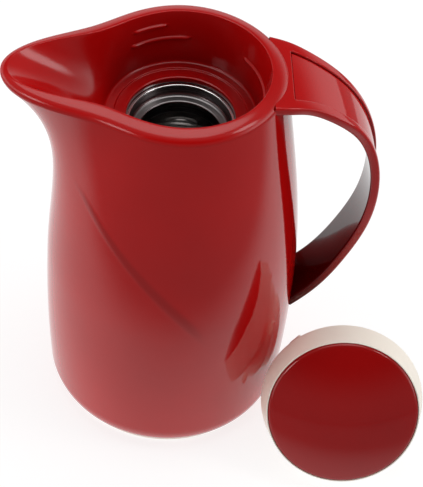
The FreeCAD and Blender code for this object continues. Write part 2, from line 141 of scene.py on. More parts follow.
SEAL_BORE_R = 17.0
SEAL_END_S = -45.0
END_CAP_S = -46.0
LUG_R = 37.8
LUG_S = -17.0
LUG_HEIGHT = 3.0
LUG_WIDTH = 9.0
LUG_COUNT = 4
LUG_ROOT = 0.6             # depth of the lugs' roots in the stopper
LUG_TAPER = 0.82           # width at the lugs' tips, as a share
PLUG_SHOULDER_S = -19.0    # below it the stopper narrows in a cone
PLUG_CONE_R = 29.0
PLUG_CONE_S = -23.0
PLUG_STEP_S = -30.0
PLUG_DECK = 2.0
LID_X = 91.7
LID_Y = -57.8
LID_TURN = -4.0
LID_TILT = 27.0

AROUND = 288               # points round the jug
TURNED_AROUND = 180        # points round a turned piece
SHARP_ANGLE = 38.0         # edges turning more than this are drawn sharp


# ---------------------------------------------------------------- mesh helpers
def rounded(points, radii, steps=5, closed=True):
    """Outline with each corner replaced by an arc-like curve of its radius."""
    pts = [np.array(p, float) for p in points]
    count = len(pts)
    out = []
    for i, here in enumerate(pts):
        radius = radii[i]
        end = not closed and i in (0, count - 1)
        if radius <= 0 or end:
            out.append(here)
            continue
        before = pts[i - 1] - here
        after = pts[(i + 1) % count] - here
        reach = min(radius, 0.48 * np.linalg.norm(before), 0.48 * np.linalg.norm(after))
        start = here + before / max(np.linalg.norm(before), 1e-9) * reach
        stop = here + after / max(np.linalg.norm(after), 1e-9) * reach
        for step in range(steps + 1):
            t = step / steps
            out.append((1 - t) ** 2 * start + 2 * t * (1 - t) * here + t * t * stop)
    return out


def grid_faces(rows, columns, rows_closed):
    faces = []
    for i in range(rows if rows_closed else rows - 1):
        above = (i + 1) % rows
        for j in range(columns):
            beside = (j + 1) % columns
            faces.append((i * columns + j, i * columns + beside,
                          above * columns + beside, above * columns + j))
    return faces


def make_piece(name, verts, faces, body, material, nodes=()):
    """Clean smooth mesh object that rides on a body and stands for CAD nodes."""
    mesh = bpy.data.meshes.new(name)
    mesh.from_pydata([tuple(v) for v in np.asarray(verts) * MM], [], faces)
    bm = bmesh.new()
    bm.from_mesh(mesh)
    bmesh.ops.remove_doubles(bm, verts=bm.verts, dist=1e-6)
    bmesh.ops.dissolve_degenerate(bm, dist=1e-7, edges=bm.edges)
    bmesh.ops.recalc_face_normals(bm, faces=bm.faces)
    bm.to_mesh(mesh)
    bm.free()
    mesh.shade_smooth()
    mesh.set_sharp_from_angle(angle=math.radians(SHARP_ANGLE))
    mesh.materials.append(material)
    piece = bpy.data.objects.new(name, mesh)
    bpy.context.scene.collection.objects.link(piece)
    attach(piece, body)
    if nodes:
        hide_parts(*nodes)
    return piece


def turned_mesh(outline, around=TURNED_AROUND):
    """Vertices and faces of a closed (radius, height) outline turned about Z."""
    outline = np.array(outline)
    angles = np.linspace(0.0, 2.0 * math.pi, around, endpoint=False)
    rows = np.empty((len(outline), around, 3))
    rows[:, :, 0] = outline[:, :1] * np.cos(angles)
    rows[:, :, 1] = outline[:, :1] * np.sin(angles)
    rows[:, :, 2] = outline[:, 1:]
    return rows.reshape(-1, 3), grid_faces(len(outline), around, True)


def placed(verts, matrix):
    """Vertices moved by a 4x4 matrix."""
    m = np.array(matrix)
    return np.asarray(verts) @ m[:3, :3].T + m[:3, 3]


def cubic_through(points):
    """Smooth curve through points, as a function of a parameter from 0 to 1."""
    pts = np.array(points, float)
    chord = np.linalg.norm(np.diff(pts, axis=0), axis=1)
    knots = np.concatenate([[0.0], np.cumsum(chord)])
    knots /= knots[-1]
    n = len(pts)
    step = np.diff(knots)
    a = np.zeros((n, n))
    b = np.zeros((n, pts.shape[1]))
    a[0, 0] = 1.0
    a[-1, -1] = 1.0
    for i in range(1, n - 1):
        a[i, i - 1] = step[i - 1]
        a[i, i] = 2.0 * (step[i - 1] + step[i])
        a[i, i + 1] = step[i]
        b[i] = 6.0 * ((pts[i + 1] - pts[i]) / step[i] - (pts[i] - pts[i - 1]) / step[i - 1])
    curvature = np.linalg.solve(a, b)

    def at(places):
        places = np.atleast_1d(places)
        k = np.clip(np.searchsorted(knots, places, side="right") - 1, 0, n - 2)
        h = step[k][:, None]
        u = (places - knots[k])[:, None]
        v = h - u
        return (curvature[k] * v ** 3 + curvature[k + 1] * u ** 3) / (6.0 * h) \
            + (pts[k] / h - curvature[k] * h / 6.0) * v \
            + (pts[k + 1] / h - curvature[k + 1] * h / 6.0) * u
    return at


def smoothstep(x):
    x = np.clip(x, 0.0, 1.0)
    return x * x * (3.0 - 2.0 * x)


# ---------------------------------------------------------------- form of the jug
def lobe(angles, narrow, wide):
    away = np.abs(180.0 - np.mod(angles, 360.0))
    return 0.75 * np.exp(-(away / narrow) ** 2) + 0.25 * np.exp(-(away / wide) ** 2)


def towards_handle(angles, power):
    return np.maximum(0.0, np.cos(np.radians(angles))) ** power


def barrel_radius(z):
    if z >= BELLY_Z:
        up = (z - BELLY_Z) / SHOULDER_SPAN
        return BELLY_R - SHOULDER_DRAW * up ** 2 + SHOULDER_FLARE * up ** 3
    down = (BELLY_Z - z) / BELLY_Z
    radius = BELLY_R - FOOT_DRAW * down ** 2.2
    if z < FOOT_CORNER_HEIGHT:
        drop = (FOOT_CORNER_HEIGHT - z) / FOOT_CORNER_HEIGHT
        radius -= FOOT_CORNER_DEEP * (1.0 - math.sqrt(1.0 - drop ** 2))
    return radius


def outer_radius(angles, z):
    radius = barrel_radius(z) + 0.0 * angles
    if z > SPOUT_START_Z:
        swell = ((z - SPOUT_START_Z) / (RIM_EDGE_Z - SPOUT_START_Z)) ** 4
        radius = radius + SPOUT_EXTRA * swell * lobe(angles, SPOUT_NARROW, SPOUT_WIDE)
    if z > PINCH_START_Z:
        pinch = ((z - PINCH_START_Z) / (RIM_EDGE_Z - PINCH_START_Z)) ** 2
        full_pinch = barrel_radius(RIM_EDGE_Z) - RIM_SIDE_R
        radius = radius + pinch * (RIM_HANDLE_EXTRA * towards_handle(angles, 4) - full_pinch)
    return radius


def bowl_radius(angles, z):
    climb = (z - BOWL_FLOOR_Z) / (RIM_TOP_Z - BOWL_FLOOR_Z)
    radius = BOWL_FLOOR_R + (BOWL_RIM_R - BOWL_FLOOR_R) * climb
    radius = radius + BOWL_HANDLE_EXTRA * climb * towards_handle(angles, 2)
    return radius + BOWL_SPOUT_EXTRA * max(0.0, climb) ** 1.3 * lobe(angles, CHANNEL_NARROW, SPOUT_WIDE)


def ring(radii, angles, z):
    turn = np.radians(angles)
    return np.stack([radii * np.cos(turn), radii * np.sin(turn), np.full_like(turn, z)], axis=1)


ANGLES = np.arange(AROUND) * 360.0 / AROUND


def shell_skin(material):
    """Outer shell: a fine smooth skin outside, the moulded wall inside."""
    base = np.concatenate([SHELL_BOTTOM_Z + 15.0 * (np.linspace(0, 1, 26) ** 1.5),
                           np.linspace(18.0, RIM_SEAM_Z, 112)])
    rows = [ring(outer_radius(ANGLES, z) - (0.5 if i == 0 else 0.0), ANGLES, z)
            for i, z in enumerate(base)]
    inside = np.linspace(RIM_SEAM_Z, SHELL_BOTTOM_Z, 28)
    rows += [ring(outer_radius(ANGLES, z) - SHELL_WALL, ANGLES, z) for z in inside]
    rows = np.array(rows)
    return make_piece("shell_skin", rows.reshape(-1, 3), grid_faces(len(rows), AROUND, True),
                      "jug", material, ["outer_shell"])


def rib_bump(angle, z):
    """How far the ribs stand out of the bowl wall at a place."""
    ribs = [(middle, 0.0, RIB_SPAN) for middle in RIB_ANGLES]
    ribs.append((UPPER_RIB_ANGLE, UPPER_RIB_RISE, UPPER_RIB_SPAN))
    bump = 0.0
    for middle, rise, span in ribs:
        away = abs((angle - middle + 180.0) % 360.0 - 180.0)
        along = smoothstep((span / 2.0 - away) / 2.5 + 0.5)
        height = abs(z - (RIB_Z + rise + RIB_HEIGHT / 2.0))
        across = smoothstep((RIB_HEIGHT / 2.0 - height) / 0.7 + 0.5)
        bump = max(bump, RIB_PROUD * float(along * across))
    return bump


def wall_levels():
    """Heights down the bowl wall, close together at the ribs."""
    levels = set(np.round(np.linspace(RIM_TOP_Z - 2.0, BOWL_FLOOR_Z + 3.0, 24), 3))
    for rise in (0.0, UPPER_RIB_RISE):
        middle = RIB_Z + rise + RIB_HEIGHT / 2.0
        levels |= set(np.round(middle + np.linspace(-1.4, 1.4, 11), 3))
    return sorted(levels, reverse=True)


def rim_round(start, corner, stop, steps=12):
    """Soft round of the rim band from the seam over to the bowl's edge."""
    start, corner, stop = np.array(start), np.array(corner), np.array(stop)
    out = []
    for t in np.linspace(0.0, 1.0, steps + 1):
        r, z = (1 - t) ** 2 * start + 2 * t * (1 - t) * corner + t * t * stop
        out.append((r, z, 0.0))
    return out


def collar_skin(material):
    """Rim band, bowl, spout channel, ribs and stepped floor in one skin."""
    levels = wall_levels()
    columns = []
    for angle in ANGLES:
        one = np.array([angle])
        at = lambda radius_at, z: float(radius_at(one, z)[0])
        top_r = at(bowl_radius, RIM_TOP_Z)
        points = rim_round((at(outer_radius, RIM_SEAM_Z), RIM_SEAM_Z),
                           (at(outer_radius, RIM_EDGE_Z), RIM_EDGE_Z + RIM_FULLNESS),
                           (top_r + RIM_LIP, RIM_TOP_Z))
        points.append((top_r, RIM_TOP_Z, 0.9))
        points += [(at(bowl_radius, z) - rib_bump(angle, z), z, 0.0) for z in levels]
        points += [(at(bowl_radius, BOWL_FLOOR_Z), BOWL_FLOOR_Z, 2.2),
                   (BOWL_STEP_R + 0.2, BOWL_FLOOR_Z, 0.4),
                   (BOWL_STEP_R, BOWL_FLOOR_Z - BOWL_STEP_DROP, 0.4),
                   (THROAT_R, BOWL_FLOOR_Z - BOWL_STEP_DROP, 0.9),
                   (THROAT_R, FLOOR_UNDER_Z, 0.2),
                   (at(bowl_radius, FLOOR_UNDER_Z) + BOWL_WALL, FLOOR_UNDER_Z, 1.0)]
        for z in (196.0, 201.0, 206.0, 211.0, 216.0, 220.0, 222.5):
            points.append((at(bowl_radius, z) + BOWL_WALL, z, 0.0))
        points.append((min(at(bowl_radius, RIM_SEAM_Z) + BOWL_WALL,
                           at(outer_radius, RIM_SEAM_Z) - 0.8), RIM_SEAM_Z, 0.2))
        outline = rounded([p[:2] for p in points], [p[2] for p in points], steps=5)
        turn = math.radians(angle)
        columns.append([(r * math.cos(turn), r * math.sin(turn), z) for r, z in outline])
    rows = np.array(columns).transpose(1, 0, 2)
    return make_piece("collar_skin", rows.reshape(-1, 3), grid_faces(len(rows), AROUND, True),
                      "jug", material, ["pouring_collar"])


# ---------------------------------------------------------------- handle
def handle_stations():
    """Places along the handle's outer line: point, inward direction, half width."""
    curve = cubic_through(HANDLE_OUTER)
    width = cubic_through(HANDLE_HALF_WIDTH)
    table = width(np.linspace(0, 1, 400))
    places = np.linspace(0.0, 1.0, 1201)
    points = curve(places)
    tangents = np.gradient(points, axis=0)
    tangents /= np.linalg.norm(tangents, axis=1)[:, None]
    inward = np.stack([tangents[:, 1], -tangents[:, 0]], axis=1)
    half = np.interp(points[:, 1], table[::-1, 0], table[::-1, 1])
    return points, inward, half


def swept(points, inward, outlines, keep):
    """Mesh of (y, depth) outlines carried along the handle's line, ends closed."""
    rows = []
    for i in keep:
        outline = np.array(outlines(i))
        x = points[i, 0] + inward[i, 0] * outline[:, 1]
        z = points[i, 1] + inward[i, 1] * outline[:, 1]
        rows.append(np.stack([x, outline[:, 0], z], axis=1))
    rows = np.array(rows)
    count, columns = rows.shape[:2]
    faces = grid_faces(count, columns, False)
    faces.append(tuple(range(columns)))
    faces.append(tuple((count - 1) * columns + j for j in reversed(range(columns))))
    return rows.reshape(-1, 3), faces


def handle_skins(frame_material, panel_material):
    points, inward, half = handle_stations()
    inner = points + inward * HANDLE_THICK
    first = int(np.argmax(points[:, 0] > low("handle_frame")[0] + 0.2))
    last = len(points) - 1 - int(np.argmax(inner[::-1, 0] > HANDLE_ROOT_X))
    begin = int(np.argmax(points[:, 0] > PANEL_START_X))
    end = int(np.argmax((points[:, 1] < PANEL_END_Z) & (points[:, 0] > 70.0)))
    bed_depth = PANEL_SINK + PANEL_THICK

    def frame_outline(i):
        w = half[i]
        b = PANEL_SHARE * w
        fade = min(smoothstep((i - begin) / 10.0), smoothstep((end - i) / 10.0))
        bed = 0.01 + bed_depth * float(fade)
        corners = [(-w, HANDLE_THICK, 1.3), (-w, 0.0, 1.5), (-b - 0.3, 0.0, 0.9), (-b, bed, 0.2),
                   (b, bed, 0.2), (b + 0.3, 0.0, 0.9), (w, 0.0, 1.5), (w, HANDLE_THICK, 1.3)]
        return rounded([c[:2] for c in corners], [c[2] for c in corners], steps=5)

    def panel_outline(i):
        b = PANEL_SHARE * half[i] - 0.05
        corners = [(-b, bed_depth, 0.1), (-b, PANEL_SINK, 0.35), (0.0, PANEL_SINK + 0.15, 0.0),
                   (b, PANEL_SINK, 0.35), (b, bed_depth, 0.1)]
        return rounded([c[:2] for c in corners], [c[2] for c in corners], steps=4)

    near_step = list(range(begin - 3, begin + 13)) + list(range(end - 13, end + 4))
    keep = sorted(set(list(range(first, last, 6)) + [last] + near_step))
    verts, faces = swept(points, inward, frame_outline, keep)
    make_piece("handle_skin", verts, faces, "jug", frame_material, ["handle_frame"])
    keep = list(range(begin + 6, end - 6, 6)) + [end - 6]
    verts, faces = swept(points, inward, panel_outline, keep)
    make_piece("handle_panel_skin", verts, faces, "jug", panel_material,
               ["handle_grip_panel"])


# ---------------------------------------------------------------- flask and base
def turned_piece(name, corners, body, material, nodes, matrix=None, steps=5):
    """Turned piece from (radius, height, corner radius) points."""
    outline = rounded([c[:2] for c in corners], [c[2] for c in corners], steps=steps)
    verts, faces = turned_mesh(outline)
    if matrix is not None:
        verts = placed(verts, matrix)
    return make_piece(name, verts, faces, body, material, nodes)


def flask_skins(liner, lip):
    turned_piece("neck_lip_skin",
                 [(LIP_R, LIP_LOW_Z, 0.1), (NECK_OUT_R, LIP_LOW_Z, 0.1), (NECK_OUT_R, LIP_TOP_Z, 0.6),
                  (LIP_R, LIP_TOP_Z, 0.6)],
                 "jug", lip, ["flask_lip_ring"])
    turned_piece("neck_sleeve_skin",
                 [(LIP_R, LIP_LOW_Z, 0.0), (LIP_R, LEDGE_Z + 1.4, 0.4), (LIP_R - 1.2, LEDGE_Z, 0.9),
                  (LEDGE_R, LEDGE_Z, 1.0), (LEDGE_R, NECK_WELD_Z, 0.0),
                  (LEDGE_R + STEEL, NECK_WELD_Z, 0.0), (LEDGE_R + STEEL, LEDGE_Z - STEEL, 0.3),
                  (LIP_R + STEEL, LEDGE_Z - STEEL, 0.3), (LIP_R + STEEL, LIP_LOW_Z, 0.0)],
                 "jug", liner, ["flask_neck"])


def base_skins(cream, rubber):
    flange_r = high("base_plate")[0]
    plug_top = high("base_plate")[2]
    wall_in = BASE_PLUG_R - BASE_WALL
    foot_out = high("foot_ring")[0]
    foot_top = high("foot_ring")[2]
    turned_piece("base_plate_skin",
                 [(0.0, 0.0, 0.0), (FOOT_IN_R, 0.0, 0.3), (FOOT_IN_R, foot_top, 0.1),
                  (foot_out, foot_top, 0.1), (foot_out, 0.0, 0.3), (flange_r, 0.0, 0.7),
                  (flange_r, SHELL_BOTTOM_Z, 0.3), (BASE_PLUG_R, SHELL_BOTTOM_Z, 0.1),
                  (BASE_PLUG_R, plug_top, 0.5), (wall_in, plug_top, 0.5), (wall_in, BASE_FLOOR, 0.5),
                  (0.0, BASE_FLOOR, 0.0)],
                 "jug", cream, ["base_plate"])
    turned_piece("foot_ring_skin",
                 [(FOOT_IN_R + 0.1, 0.0, 0.4), (foot_out - 0.1, 0.0, 0.4),
                  (foot_out - 0.1, foot_top, 0.1), (FOOT_IN_R + 0.1, foot_top, 0.1)],
                 "jug", rubber, ["foot_ring"])


# ---------------------------------------------------------------- lid
def lid_matrix():
    """From the lid's own axis to where it lies."""
    tilt = math.radians(LID_TILT)
    return (Matrix.Translation((LID_X, LID_Y, SKIRT_R * math.cos(tilt)))
            @ Matrix.Rotation(math.radians(LID_TURN), 4, "Z")
            @ Matrix.Rotation(math.pi / 2.0 - tilt, 4, "X")
            @ Matrix.Rotation(math.pi / 4.0, 4, "Z"))


def dome_points(radius, base, rise, count):
    """Points of a shallow spherical cap from its edge to the axis."""
    sphere_r = (radius ** 2 + rise ** 2) / (2.0 * rise)
    edge = math.asin(radius / sphere_r)
    return [(sphere_r * math.sin(a), base + rise - sphere_r + sphere_r * math.cos(a), 0.0)
            for a in np.linspace(edge, 0.0, count)]


def lid_skins(red, cream, silicone):
    matrix = lid_matrix()
    seat = SKIRT_HEIGHT - CAP_SEAT
    shoulder = SKIRT_HEIGHT + CAP_SIDE
    top = dome_points(CAP_R - 0.1, shoulder, CAP_RISE - CAP_SIDE - 0.05, 26)
    under = dome_points(CAP_R - LID_WALL, seat + 1.0, CAP_RISE - CAP_SIDE, 14)
    cap = [(CAP_R - 0.1, seat, 0.2)] + [(top[0][0], top[0][1], 2.0)] + top[2:]
    cap += list(reversed(under))[:-1] + [(CAP_R - LID_WALL, seat, 0.2)]
    turned_piece("lid_cap_skin", cap, "lid", red, ["lid_cap"], matrix, steps=6)
    ledge_r = CAP_R - LID_WALL - 1.0
    turned_piece("lid_skirt_skin",
                 [(SKIRT_R - LID_WALL, 0.0, 0.3), (SKIRT_R, 0.0, 0.6), (SKIRT_R, 2.0, 0.8),
                  (SKIRT_TOP_R, SKIRT_HEIGHT, 0.5), (CAP_R, SKIRT_HEIGHT, 0.2), (CAP_R, seat, 0.1),
                  (ledge_r, seat, 0.2), (ledge_r, seat - 2.0, 0.4), (SKIRT_R - LID_WALL, 2.0, 0.4)],
                 "lid", cream, ["lid_skirt"], matrix)
    plug_skin(cream, matrix)
    turned_piece("lid_seal_skin",
                 [(SEAL_BORE_R, SEAL_END_S, 0.1), (SEAL_END_R, SEAL_END_S, 0.7),
                  (SEAL_TOP_R, PLUG_END_S, 0.5), (SEAL_BORE_R, PLUG_END_S, 0.1)],
                 "lid", silicone, ["lid_seal"], matrix)
    cap_r = SEAL_END_R - 0.8
    turned_piece("lid_end_cap_skin",
                 [(0.0, END_CAP_S + 0.3, 0.0), (cap_r - 3.0, END_CAP_S + 0.3, 0.3),
                  (cap_r - 2.4, END_CAP_S, 0.3), (cap_r, END_CAP_S, 0.5), (cap_r, SEAL_END_S, 0.1),
                  (SEAL_BORE_R, SEAL_END_S, 0.1), (SEAL_BORE_R, PLUG_END_S, 0.2), (0.0, PLUG_END_S, 0.0)],
                 "lid", cream, ["lid_end_cap"], matrix)


def plug_outline(inset, bottom, top):
    return [(0.0, bottom, 0.0), (PLUG_LOW_R - inset, bottom, 1.2), (PLUG_LOW_R - inset, PLUG_STEP_S, 2.0),
            (PLUG_CONE_R - inset, PLUG_CONE_S, 2.0), (PLUG_TOP_R - inset, PLUG_SHOULDER_S, 2.0),
            (PLUG_TOP_R - inset, top, 0.6)]


def plug_skin(cream, matrix):
    """Stopper body with its deck, and four rounded lugs."""
    deck_r = SKIRT_R - LID_WALL
    corners = plug_outline(0.0, PLUG_END_S, 0.0)
    corners += [(deck_r, 0.0, 0.2), (deck_r, PLUG_DECK, 0.2), (PLUG_TOP_R - LID_WALL, PLUG_DECK, 0.4)]
    corners += list(reversed(plug_outline(LID_WALL, PLUG_END_S + LID_WALL, PLUG_DECK)))[1:]
    outline = rounded([c[:2] for c in corners], [c[2] for c in corners], steps=5)
    verts, faces = turned_mesh(outline)
    make_piece("lid_plug_skin", placed(verts, matrix), faces, "lid", cream, ["lid_plug"])
    bm = bmesh.new()
    reach = LUG_R - PLUG_TOP_R + LUG_ROOT
    for lug in range(LUG_COUNT):
        made = bmesh.ops.create_cube(bm, size=1.0)["verts"]
        for vert in made:
            vert.co.x = PLUG_TOP_R - LUG_ROOT + reach * (vert.co.x + 0.5)
            vert.co.y *= LUG_WIDTH * (1.0 if vert.co.x < PLUG_TOP_R else LUG_TAPER)
            vert.co.z = LUG_S + LUG_HEIGHT * (vert.co.z + 0.5)
        bmesh.ops.rotate(bm, verts=made, cent=(0, 0, 0),
                         matrix=Matrix.Rotation(lug * 2.0 * math.pi / LUG_COUNT, 3, "Z"))
    bmesh.ops.bevel(bm, geom=list(bm.edges), offset=0.7, segments=3, affect="EDGES", profile=0.5)
    verts = placed([tuple(v.co) for v in bm.verts], matrix)
    bm.verts.index_update()
    faces = [tuple(v.index for v in f.verts) for f in bm.faces]
    bm.free()
    make_piece("lid_lugs_skin", verts, faces, "lid", cream)


# ---------------------------------------------------------------- materials
def new_material(name):
    material = bpy.data.materials.new(name)
    material.use_nodes = True
    tree = material.node_tree
    shader = tree.nodes["Principled BSDF"]
    return material, tree, shader


def noise(tree, scale, detail=2.0, rough=0.5, stretch=(1, 1, 1)):
    """Noise texture in the row frame's own coordinates."""
    place = tree.nodes.new("ShaderNodeTexCoord")
    mapping = tree.nodes.new("ShaderNodeMapping")
    mapping.inputs["Scale"].default_value = stretch
    texture = tree.nodes.new("ShaderNodeTexNoise")
    texture.inputs["Scale"].default_value = scale
    texture.inputs["Detail"].default_value = detail
    texture.inputs["Roughness"].default_value = rough
    tree.links.new(place.outputs["Object"], mapping.inputs["Vector"])
    tree.links.new(mapping.outputs["Vector"], texture.inputs["Vector"])
    return texture


def ramp(tree, source, low_place, low_colour, high_place, high_colour):
    """Colour ramp between two colours, driven by a factor socket."""
    node = tree.nodes.new("ShaderNodeValToRGB")
    node.color_ramp.elements[0].position = low_place
    node.color_ramp.elements[0].color = low_colour
    node.color_ramp.elements[1].position = high_place
    node.color_ramp.elements[1].color = high_colour
    tree.links.new(source, node.inputs["Fac"])
    return node.outputs["Color"]


def remap(tree, source, low_value, high_value):
    """Factor stretched to a range of plain values."""
    node = tree.nodes.new("ShaderNodeMapRange")
    node.inputs["To Min"].default_value = low_value
    node.inputs["To Max"].default_value = high_value
    tree.links.new(source, node.inputs["Value"])
    return node.outputs["Result"]


def smooth_range(tree, source, start, stop, low_value, high_value):
    """Value that goes smoothly from one level to another as the source rises."""
    node = tree.nodes.new("ShaderNodeMapRange")
    node.interpolation_type = "SMOOTHSTEP"
    node.inputs["From Min"].default_value = start
    node.inputs["From Max"].default_value = stop
    node.inputs["To Min"].default_value = low_value
    node.inputs["To Max"].default_value = high_value
    tree.links.new(source, node.inputs["Value"])
    return node.outputs["Result"]


def product(tree, first, second):
    node = tree.nodes.new("ShaderNodeMath")
    node.operation = "MULTIPLY"
    tree.links.new(first, node.inputs[0])
    tree.links.new(second, node.inputs[1])
    return node.outputs[0]


def add(tree, first, second):
    """Sum of two sockets, or of a socket and a plain number."""
    node = tree.nodes.new("ShaderNodeMath")
    node.operation = "ADD"
    for slot, value in enumerate((first, second)):
        if isinstance(value, float):
            node.inputs[slot].default_value = value
        else:
            tree.links.new(value, node.inputs[slot])
    return node.outputs[0]


def scaled(tree, source, factor):
    """Product of a socket and a plain number."""
    node = tree.nodes.new("ShaderNodeMath")
    node.operation = "MULTIPLY"
    tree.links.new(source, node.inputs[0])
    node.inputs[1].default_value = factor
    return node.outputs[0]


def bumped(tree, shader, height, strength, distance):
    node = tree.nodes.new("ShaderNodeBump")
    node.inputs["Strength"].default_value = strength
    node.inputs["Distance"].default_value = distance
    tree.links.new(height, node.inputs["Height"])
    tree.links.new(node.outputs["Normal"], shader.inputs["Normal"])


def painted_recess_shade(tree, colour, reach, deep, deep_share):
    """Painted shade: colour that darkens in hollows, where ambient occlusion finds nearby surfaces."""
    hollow = tree.nodes.new("ShaderNodeAmbientOcclusion")
    hollow.samples = 8
    hollow.inputs["Distance"].default_value = reach
    share = smooth_range(tree, hollow.outputs["AO"], deep, 0.92, deep_share, 1.0)
    darker = tree.nodes.new("ShaderNodeVectorMath")
    darker.operation = "SCALE"
    tree.links.new(colour, darker.inputs[0])
    tree.links.new(share, darker.inputs["Scale"])
    return darker.outputs[0]


STREAK_MIDDLE = math.radians(-110.0)   # direction of the streak's middle on the shell
STREAK_TURN = math.radians(40.0)       # unit of turn along the streak
STREAK_HEIGHT = 0.1375                 # metres up the shell at its middle
STREAK_SLOPE = -0.0465                 # metres of height per unit of turn
STREAK_BEND = -0.0096
STREAK_DEEP = 0.00010                  # metres


def streak_mask(tree):
    """One along the crease of the faint slanting streak, fading out above it."""
    place = tree.nodes.new("ShaderNodeTexCoord")
    axes = tree.nodes.new("ShaderNodeSeparateXYZ")
    tree.links.new(place.outputs["Object"], axes.inputs["Vector"])
    angle = tree.nodes.new("ShaderNodeMath")
    angle.operation = "ARCTAN2"
    tree.links.new(axes.outputs["Y"], angle.inputs[0])
    tree.links.new(axes.outputs["X"], angle.inputs[1])
    turn = scaled(tree, add(tree, angle.outputs[0], -STREAK_MIDDLE), 1.0 / STREAK_TURN)
    line = add(tree, scaled(tree, product(tree, turn, turn), STREAK_BEND),
               add(tree, scaled(tree, turn, STREAK_SLOPE), STREAK_HEIGHT))
    above = add(tree, axes.outputs["Z"], scaled(tree, line, -1.0))
    width = smooth_range(tree, turn, -1.1, 0.9, 0.0055, 0.0120)
    share = tree.nodes.new("ShaderNodeMath")
    share.operation = "DIVIDE"
    tree.links.new(above, share.inputs[0])
    tree.links.new(width, share.inputs[1])
    rise = smooth_range(tree, share.outputs[0], -0.45, 0.15, 0.0, 1.0)
    fall = smooth_range(tree, share.outputs[0], 0.25, 1.0, 1.0, 0.0)
    begin = smooth_range(tree, turn, -1.2, -0.7, 0.0, 1.0)
    end = smooth_range(tree, turn, 0.55, 0.95, 1.0, 0.0)
    return product(tree, product(tree, rise, fall), product(tree, begin, end))


def add_streak_with_painted_shade(material):
    """Faint slanting crease in the shell's gloss, as seen in the photograph: a shallow bump groove, with
    painted shade darkening the colour along it.
    """
    tree = material.node_tree
    shader = tree.nodes["Principled BSDF"]
    mask = streak_mask(tree)
    groove = tree.nodes.new("ShaderNodeBump")
    groove.inputs["Strength"].default_value = 1.0
    groove.inputs["Distance"].default_value = STREAK_DEEP
    tree.links.new(mask, groove.inputs["Height"])
    tree.links.new(shader.inputs["Normal"].links[0].from_socket, groove.inputs["Normal"])
    tree.links.new(groove.outputs["Normal"], shader.inputs["Normal"])
    # Painted shade: the base colour is darkened along the groove.
    darker = tree.nodes.new("ShaderNodeVectorMath")
    darker.operation = "SCALE"
    tree.links.new(shader.inputs["Base Color"].links[0].from_socket, darker.inputs[0])
    tree.links.new(smooth_range(tree, mask, 0.0, 1.0, 1.0, 0.76), darker.inputs["Scale"])
    tree.links.new(darker.outputs[0], shader.inputs["Base Color"])


def gloss_plastic(name, colour, roughness, recess=None, waviness=0.05):
    """Polished moulded plastic: faint colour clouding, fine ripple and handling marks."""
    material, tree, shader = new_material(name)
    cloud = noise(tree, 18.0, 3.0)
    dark = tuple(0.93 * c for c in colour) + (1.0,)
    light = tuple(min(1.0, 1.05 * c) for c in colour) + (1.0,)
    tint = ramp(tree, cloud.outputs["Fac"], 0.3, dark, 0.7, light)
    # Painted shade: the base colour darkens in hollows found by ambient occlusion.
    if recess:
        tint = painted_recess_shade(tree, tint, *recess)
    tree.links.new(tint, shader.inputs["Base Color"])
    marks = noise(tree, 260.0, 4.0, 0.6)
    tree.links.new(remap(tree, marks.outputs["Fac"], 0.7 * roughness, 1.35 * roughness),
                   shader.inputs["Roughness"])
    ripple = noise(tree, 140.0, 1.0)
    bumped(tree, shader, ripple.outputs["Fac"], waviness, 0.0004)
    shader.inputs["IOR"].default_value = 1.44
    return material


def satin_plastic(name, colour, roughness):
    """Cream moulded plastic with a very fine grain."""
    material, tree, shader = new_material(name)
    cloud = noise(tree, 25.0, 3.0)
    dark = tuple(0.95 * c for c in colour) + (1.0,)
    light = tuple(min(1.0, 1.03 * c) for c in colour) + (1.0,)
    tree.links.new(ramp(tree, cloud.outputs["Fac"], 0.3, dark, 0.7, light), shader.inputs["Base Color"])
    grain = noise(tree, 1400.0, 2.0)
    tree.links.new(remap(tree, grain.outputs["Fac"], roughness - 0.06, roughness + 0.06),
                   shader.inputs["Roughness"])
    bumped(tree, shader, grain.outputs["Fac"], 0.12, 0.0002)
    shader.inputs["IOR"].default_value = 1.5
    return material


def spun_steel(name, colour, roughness, lines=0.25):
    """Steel with fine lines round the axis, as left by spinning and brushing."""
    material, tree, shader = new_material(name)
    streaks = noise(tree, 60.0, 3.0, 0.6, (0.15, 0.15, 60.0))
    dark = tuple(0.8 * c for c in colour) + (1.0,)
    light = tuple(min(1.0, 1.15 * c) for c in colour) + (1.0,)
    tree.links.new(ramp(tree, streaks.outputs["Fac"], 0.3, dark, 0.7, light), shader.inputs["Base Color"])
    tree.links.new(remap(tree, streaks.outputs["Fac"], 0.7 * roughness, 1.3 * roughness),
                   shader.inputs["Roughness"])
    bumped(tree, shader, streaks.outputs["Fac"], lines, 0.0002)
    shader.inputs["Metallic"].default_value = 1.0
    return material


def soft_rubber(name, colour, roughness):
    """Rubber or silicone with a dusty fine grain."""
    material, tree, shader = new_material(name)
    grain = noise(tree, 900.0, 3.0)
    dark = tuple(0.88 * c for c in colour) + (1.0,)
    light = tuple(min(1.0, 1.1 * c) for c in colour) + (1.0,)
    tree.links.new(ramp(tree, grain.outputs["Fac"], 0.3, dark, 0.7, light), shader.inputs["Base Color"])
    tree.links.new(remap(tree, grain.outputs["Fac"], roughness - 0.08, roughness + 0.05),
                   shader.inputs["Roughness"])
    bumped(tree, shader, grain.outputs["Fac"], 0.2, 0.0003)
    return material


def foam_material(name, colour):
    material, tree, shader = new_material(name)
    cells = noise(tree, 500.0, 4.0, 0.7)
    dark = tuple(0.75 * c for c in colour) + (1.0,)
    tree.links.new(ramp(tree, cells.outputs["Fac"], 0.35, dark, 0.65, tuple(colour) + (1.0,)),
                   shader.inputs["Base Color"])
    shader.inputs["Roughness"].default_value = 0.9
    bumped(tree, shader, cells.outputs["Fac"], 0.6, 0.001)
    return material


